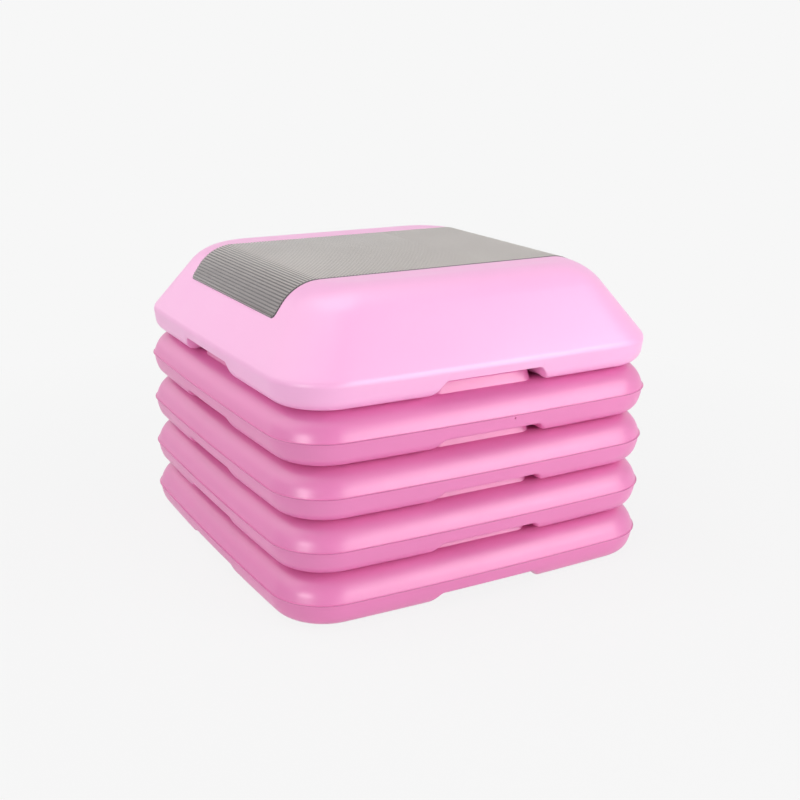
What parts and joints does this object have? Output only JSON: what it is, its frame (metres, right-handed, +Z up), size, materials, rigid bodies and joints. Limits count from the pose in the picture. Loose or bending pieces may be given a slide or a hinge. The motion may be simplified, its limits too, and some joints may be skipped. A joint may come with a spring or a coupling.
{
  "type": "aerobic step platform",
  "caption": "Square aerobic step with a ribbed non-slip mat over its top and two flanks, on stacked keyed risers with rubber feet; every piece lifts off the one below.",
  "frame": {"origin": "on the floor under the centre of the stack", "axes": "+Z up, through the centre of the stack; the mat turns down over the +X and -X flanks; -Y is the front"},
  "size_m": [0.4172, 0.4172, 0.3026],
  "materials": {
    "platform_plastic": "satin",
    "riser_plastic": "satin",
    "mat_rubber": "matte",
    "foot_rubber": "matte"
  },
  "bodies": {
    "riser_1": {"riser_1_shell": "riser_plastic", "riser_1_foot_front_left": "foot_rubber", "riser_1_foot_front_right": "foot_rubber", "riser_1_foot_rear_right": "foot_rubber", "riser_1_foot_rear_left": "foot_rubber"},
    "riser_2": {"riser_2_shell": "riser_plastic", "riser_2_foot_front_left": "foot_rubber", "riser_2_foot_front_right": "foot_rubber", "riser_2_foot_rear_right": "foot_rubber", "riser_2_foot_rear_left": "foot_rubber"},
    "riser_3": {"riser_3_shell": "riser_plastic", "riser_3_foot_front_left": "foot_rubber", "riser_3_foot_front_right": "foot_rubber", "riser_3_foot_rear_right": "foot_rubber", "riser_3_foot_rear_left": "foot_rubber"},
    "riser_4": {"riser_4_shell": "riser_plastic", "riser_4_foot_front_left": "foot_rubber", "riser_4_foot_front_right": "foot_rubber", "riser_4_foot_rear_right": "foot_rubber", "riser_4_foot_rear_left": "foot_rubber"},
    "platform": {"platform_shell": "platform_plastic", "step_mat": "mat_rubber", "platform_foot_front_left": "foot_rubber", "platform_foot_front_right": "foot_rubber", "platform_foot_rear_right": "foot_rubber", "platform_foot_rear_left": "foot_rubber"}
  },
  "joints": [
    {"name": "riser_2_lift", "type": "slide", "parent": "riser_1", "child": "riser_2", "axis": [0, 0, 1], "range_m": [0, 0.1]},
    {"name": "riser_3_lift", "type": "slide", "parent": "riser_2", "child": "riser_3", "axis": [0, 0, 1], "range_m": [0, 0.1]},
    {"name": "riser_4_lift", "type": "slide", "parent": "riser_3", "child": "riser_4", "axis": [0, 0, 1], "range_m": [0, 0.1]},
    {"name": "platform_lift", "type": "slide", "parent": "riser_4", "child": "platform", "axis": [0, 0, 1], "range_m": [0, 0.1]}
  ]
}
